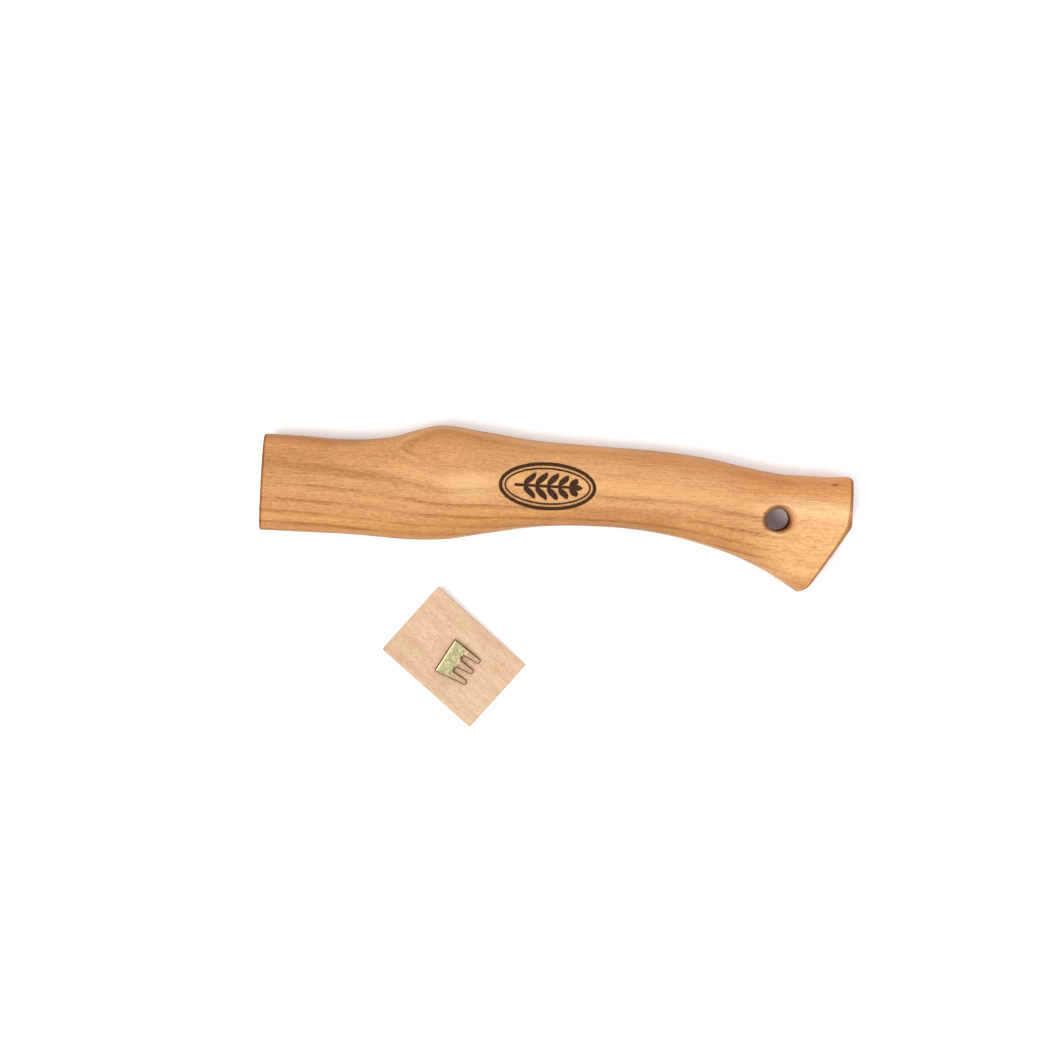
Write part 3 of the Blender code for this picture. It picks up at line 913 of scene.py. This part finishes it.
def hang_hole_colour(g, wood, colour):
    """Painted light and shade in the hang hole: its mouth painted as shade on the eye's side, as
    light towards the knob and as a pale highlight on its belly side; its wall painted lit and shaded
    the same way, and darker low down as painted shade.
    """
    hole_x = g.times(g.add(wood.x, -HOLE.x * TO_MM), 1 / HOLE_STRETCH)
    hole_y = g.add(wood.y, -HOLE.y * TO_MM)
    from_hole = g.math("SQRT", g.add(g.times(hole_x, hole_x), g.times(hole_y, hole_y)))
    rim = g.step(g.add(from_hole, g.swing(wood.fibre, 1.2)), 7.1, 6.2)
    # Painted light on the knob's side of the hole, painted shade on the eye's side.
    lit_side = g.step(g.add(g.times(hole_x, 0.9), g.times(hole_y, -0.4)), -3.0, 4.5)
    rim_colour = g.mix(lit_side, HOLE_RIM_SHADE, HOLE_RIM_LIT)
    # A painted highlight on the rim's belly side.
    rim_colour = g.mix(g.step(hole_y, -3.5, -6.0), rim_colour, HOLE_RIM_HIGHLIGHT)
    colour = g.mix(g.times(rim, 0.8), colour, rim_colour)
    wood.wall = g.times(g.step(from_hole, 5.5, 5.2), g.step(wood.z, 10.9, 9.9))
    wall_colour = g.mix(lit_side, HOLE_WALL_SHADE, HOLE_WALL_LIT)
    # Painted shade low in the bore.
    wall_colour = g.mix(g.step(wood.z, 3.5, -2.5), wall_colour, HOLE_LOWER_WALL_SHADE)
    return g.mix(wood.wall, colour, wall_colour)


def mineral_fleck(g, wood, colour):
    """A small dark fleck near the knob's back corner."""
    from_fleck = g.from_spot(wood.place, (242.0, 12.6, 8.0), (0.42, 1.6, 0.2))
    return g.mix(g.times(g.step(from_fleck, 1.0, 0.35), 0.75), colour, MINERAL_FLECK)


def from_oval(g, a, b, half_a, half_b):
    """Distance outwards from an oval's line, for a point (a, b) from its centre."""
    never_zero = 0.0001
    u = g.math("DIVIDE", a, half_a)
    v = g.math("DIVIDE", b, half_b)
    level = g.math("SQRT", g.add(g.times(u, u), g.times(v, v)))
    slope_a = g.math("DIVIDE", u, half_a)
    slope_b = g.math("DIVIDE", v, half_b)
    slope = g.math("SQRT", g.add(g.times(slope_a, slope_a), g.times(slope_b, slope_b)))
    return g.math("DIVIDE", g.times(level, g.add(level, -1.0)), g.add(slope, never_zero))


def sprig(g, a, b):
    """(inked, browned) for a sprig along a: pairs of leaves along a stem, swept forwards and
    shorter towards its ends, and a leaf at its tip."""
    spacing = 4.8
    pairs_reach = spacing * 2.5
    leaf_length = 6.0
    leaf_half_width = 1.75
    away = g.math("ABSOLUTE", b)
    swept = g.add(a, g.times(away, -0.75))
    across = g.math("ABSOLUTE", g.math("WRAP", swept, spacing / 2, -spacing / 2))
    from_middle = g.math("DIVIDE", a, 16.0)
    taper = g.less(1.0, g.times(from_middle, from_middle))
    taper = g.math("SQRT", g.math("MAXIMUM", 0.02, taper))
    along_leaf = g.math("DIVIDE", away, g.times(taper, leaf_length))
    bulge = g.math("SINE", g.times(g.math("MINIMUM", along_leaf, 1.0), math.pi))
    inside_leaf = g.less(across, g.times(g.math("POWER", bulge, 0.8), leaf_half_width))
    pairs = g.step(g.math("ABSOLUTE", swept), pairs_reach + 0.1, pairs_reach - 0.1)
    leaf = g.times(g.step(inside_leaf, 0.12, -0.12), g.step(along_leaf, 1.0, 0.94), pairs)
    stem = g.step(g.math("ABSOLUTE", g.add(a, 0.7)), 13.4, 12.9)
    stem = g.times(g.step(away, 0.72, 0.48), stem)
    along_tip = g.math("DIVIDE", g.add(a, -9.6), 5.4)
    tip_width = g.times(g.math("SINE", g.times(along_tip, math.pi)), 1.3)
    in_tip = g.window(along_tip, (0.0, 0.05), (0.95, 1.0))
    tip_leaf = g.times(g.step(g.less(away, tip_width), 0.12, -0.12), in_tip)
    inked = g.math("MAXIMUM", g.math("MAXIMUM", leaf, stem), tip_leaf)
    browned = g.times(g.step(inside_leaf, 1.0, -0.2), pairs, g.step(along_leaf, 1.15, 0.9))
    return inked, browned


def burnt_mark(g, wood, colour):
    """A leafy sprig in an oval frame of two lines, burnt into the grip's upper side: charred
    where the iron was, and browned round that."""
    ragged = g.less(g.noise(wood.place, (1.1, 1.6, 1.0), detail=2.0), 0.5)
    a, b, _ = g.split(g.vector("SUBTRACT", wood.place, (121.0, 5.2, 0.0)))
    a = g.add(a, g.times(ragged, 0.35))
    b = g.add(b, g.times(ragged, 0.35))
    outwards = from_oval(g, a, b, 19.8, 9.4)
    thick_line = g.step(g.math("ABSOLUTE", outwards), 0.85, 0.60)
    thin_line = g.step(g.math("ABSOLUTE", g.add(outwards, 1.95)), 0.48, 0.26)
    inked, browned = sprig(g, a, b)
    burn = g.math("MAXIMUM", g.math("MAXIMUM", thick_line, thin_line), inked)
    halo = g.times(g.step(outwards, 1.5, -0.4), g.step(outwards, -3.2, -0.9))
    warm = g.times(g.math("MAXIMUM", halo, browned), 0.4)
    upper_side = g.step(wood.z, 2.0, 4.0)
    scorch = g.times(g.math("MAXIMUM", burn, warm), upper_side)
    wood.burn = g.times(burn, upper_side)
    colour = g.mix(g.times(scorch, 0.55), colour, MARK_BROWNED)
    char_tone = g.noise(wood.place, (1.6, 2.2, 2.2), detail=3.0)
    char = g.mix(g.step(char_tone, 0.35, 0.7), CHAR_DARK, CHAR_LIGHT)
    return g.mix(g.times(wood.burn, 0.97), colour, char)


def hickory():
    """Ring-porous wood as a solid, so that every cut through it shows its own figure. The
    steps leave on wood what later ones need."""
    g = Graph("hickory")
    wood = SimpleNamespace(place=g.place(Matrix.Translation(HANDLE_ORIGIN)))
    wood.x, wood.y, wood.z = g.split(wood.place)
    for prepare in (grow_rings, mark_regions, fade_early_wood, grow_fibres):
        prepare(g, wood)
    colour = grain_colour(g, wood)
    for paint in (
        pointed_figure,
        heart_and_sap,
        flanks_and_ends,
        hang_hole_colour,
        mineral_fleck,
        burnt_mark,
    ):
        colour = paint(g, wood, colour)
    roughness = g.add(0.50, g.swing(wood.fibre, 0.25), g.times(wood.early, 0.08))
    roughness = g.add(
        roughness, g.times(wood.end, 0.15), g.times(wood.burn, 0.25), g.times(wood.wall, 0.5)
    )
    relief = g.add(g.times(wood.fine_fibre, 0.6), g.times(wood.fibre, 0.6))
    relief = g.add(relief, g.times(wood.pores, -0.9), g.times(wood.burn, -3.0))
    g.finish(colour, roughness, relief, 0.00006)
    g.shader.inputs["Specular IOR Level"].default_value = 0.25
    return g.material


# ---------------------------------------------------------------- beech and brass


def beech():
    """Pale pinkish wood with short darker flecks along the wedge, sides painted darker as shade, and
    one orange fleck near the thin end."""
    g = Graph("beech")
    place = g.place(WEDGE_PLACE)
    broad = g.noise(place, (0.03, 0.35, 0.35), detail=2.0)
    fibre = g.noise(place, (0.10, 2.6, 2.6), detail=3.0, roughness=0.6)
    flecks = g.step(g.noise(place, (0.42, 3.0, 1.2), detail=1.0), 0.60, 0.68)
    pores = g.step(g.noise(place, (0.8, 7.0, 7.0), detail=0.0), 0.66, 0.72)
    tone = g.add(
        0.5, g.swing(broad, 0.7), g.swing(fibre, 0.7), g.times(flecks, -0.45), g.times(pores, -0.30)
    )
    colour = g.mix(g.step(tone, -0.1, 1.1), BEECH_DARK, BEECH_LIGHT)
    hue = g.step(g.noise(place, (0.07, 0.14, 0.14), detail=2.0), 0.38, 0.62)
    colour = g.vector("MULTIPLY", colour, g.mix(hue, BEECH_PINKER, BEECH_YELLOWER))
    from_fleck = g.from_spot(place, (17.0, 8.3, 0.0), (0.33, 0.85, 0.0))
    orange = g.times(g.step(g.add(from_fleck, g.less(fibre, 0.5)), 1.0, 0.3), 0.55)
    colour = g.mix(orange, colour, BEECH_FLECK)
    # Painted shade on the wedge's sides.
    side = g.step(g.math("ABSOLUTE", g.facing()[2]), 0.965, 0.6)
    colour = g.tint(g.times(side, 0.8), colour, BEECH_SIDE_SHADE)
    roughness = g.add(0.62, g.swing(fibre, 0.3))
    relief = g.add(g.times(fibre, 0.8), g.times(pores, -0.6), g.times(flecks, -0.3))
    g.finish(colour, roughness, relief, 0.00006)
    g.shader.inputs["Specular IOR Level"].default_value = 0.3
    return g.material


def brass(place_matrix):
    """Satin brass plating over stamped steel: a mottled head with a painted highlight along its back
    edge, legs painted paler and pink as a highlight and reflection of the wood, fine scratches, and
    dull brown shear-cut edges, darkened further as painted shade round the outline."""
    g = Graph("brass_plate")
    place = g.place(place_matrix)
    x = g.split(place)[0]
    cloud = g.noise(place, (0.5, 0.5, 0.5), detail=3.0)
    grain = g.noise(place, (2.6, 2.6, 2.6), detail=3.0, roughness=0.7)
    scratch = g.noise(place, (0.5, 9.0, 9.0), detail=1.0)
    torn = g.noise(place, (3.2, 3.2, 0.7), detail=3.0, roughness=0.65)
    tone = g.step(g.add(0.5, g.swing(cloud, 0.9), g.swing(grain, 3.2)), 0.0, 1.0)
    head = g.mix(tone, BRASS_DARK, BRASS_LIGHT)
    # Legs painted paler and pink, a painted highlight and a reflection of the wood.
    legs = g.mix(tone, LEG_REFLECTION_DARK, LEG_REFLECTION_LIGHT)
    colour = g.mix(g.step(g.add(x, g.swing(cloud, 1.5)), 5.6, 8.0), head, legs)
    # A painted highlight along the head's back edge.
    bevel_highlight = g.window(x, (0.35, 0.55), (0.80, 1.05))
    colour = g.mix(g.times(bevel_highlight, 0.7), colour, BRASS_BEVEL_HIGHLIGHT)
    # Cut edges dull brown, darkened further as painted shade round the outline.
    edge = g.step(g.facing()[2], 0.975, 0.88)
    sheared_and_shaded = g.mix(g.step(torn, 0.32, 0.68), SHEARED_AND_SHADED_DARK, SHEARED_AND_SHADED_LIGHT)
    colour = g.mix(edge, colour, sheared_and_shaded)
    roughness = g.add(0.47, g.swing(grain, 0.35), g.times(edge, 0.2))
    g.finish(colour, roughness, g.add(grain, g.times(scratch, 0.4)), 0.00005)
    g.shader.inputs["Metallic"].default_value = 0.85
    g.shader.inputs["Specular Tint"].default_value = (0.70, 0.52, 0.32, 1.0)
    return g.material


# ---------------------------------------------------------------- studio


def make_floor():
    """A white floor that glows by how open it lies, so that only what is near a piece, or
    seen through its hole, is in shade."""
    edit = bmesh.new()
    bmesh.ops.create_grid(edit, x_segments=1, y_segments=1, size=FLOOR_REACH)
    bmesh.ops.translate(edit, verts=edit.verts, vec=(0, 0, -FLOOR_DROP))
    floor = object_from("floor", edit)
    g = Graph("white_floor")
    g.shader.inputs["Base Color"].default_value = (0.94, 0.94, 0.94, 1.0)
    g.shader.inputs["Roughness"].default_value = 0.8
    g.shader.inputs["Specular IOR Level"].default_value = 0.0
    g.shader.inputs["Emission Color"].default_value = (0.93, 0.96, 1.0, 1.0)
    occlusion = g.tree.nodes.new("ShaderNodeAmbientOcclusion")
    occlusion.inputs["Distance"].default_value = 0.03
    openness = occlusion.outputs["AO"]
    glow = g.add(g.times(openness, 0.55), 0.05, g.times(g.step(openness, 0.12, 0.32), -0.17))
    g.feed(g.shader.inputs["Emission Strength"], glow)
    floor.data.materials.append(g.material)


def make_light(name, position, size, power):
    """A round soft light that looks at the frame's origin."""
    lamp = bpy.data.lights.new(name, "AREA")
    lamp.shape = "DISK"
    lamp.size = size
    lamp.energy = power
    light = bpy.data.objects.new(name, lamp)
    light.location = position
    light.rotation_euler = (-Vector(position)).to_track_quat("-Z", "Y").to_euler()
    bpy.context.scene.collection.objects.link(light)


def make_studio():
    world = bpy.data.worlds.new("studio")
    world.use_nodes = True
    background = world.node_tree.nodes["Background"]
    background.inputs["Color"].default_value = (1.0, 1.0, 1.0, 1.0)
    background.inputs["Strength"].default_value = 0.30
    bpy.context.scene.world = world
    make_light("key", (-0.50, -0.55, 1.6), size=1.0, power=22.6)
    make_light("side", (0.95, -0.45, 1.6), size=0.9, power=3.5)
    make_light("back", (0.35, 0.90, 1.6), size=0.9, power=11.0)
    bpy.context.scene.view_settings.view_transform = "Standard"


def make_camera():
    data = bpy.data.cameras.new("camera")
    data.sensor_width = SENSOR
    data.lens = SENSOR * CAMERA_HEIGHT / VIEW_WIDTH
    camera = bpy.data.objects.new("camera", data)
    over = HANDLE_ORIGIN.xy + CAMERA_OVER
    camera.location = (over.x, over.y, CAMERA_HEIGHT)
    camera.rotation_euler = (0.0, 0.0, CAMERA_ROLL)
    bpy.context.scene.collection.objects.link(camera)
    bpy.context.scene.camera = camera


make_camera()
make_studio()
make_floor()
make_handle()
make_wedge()
make_nail()
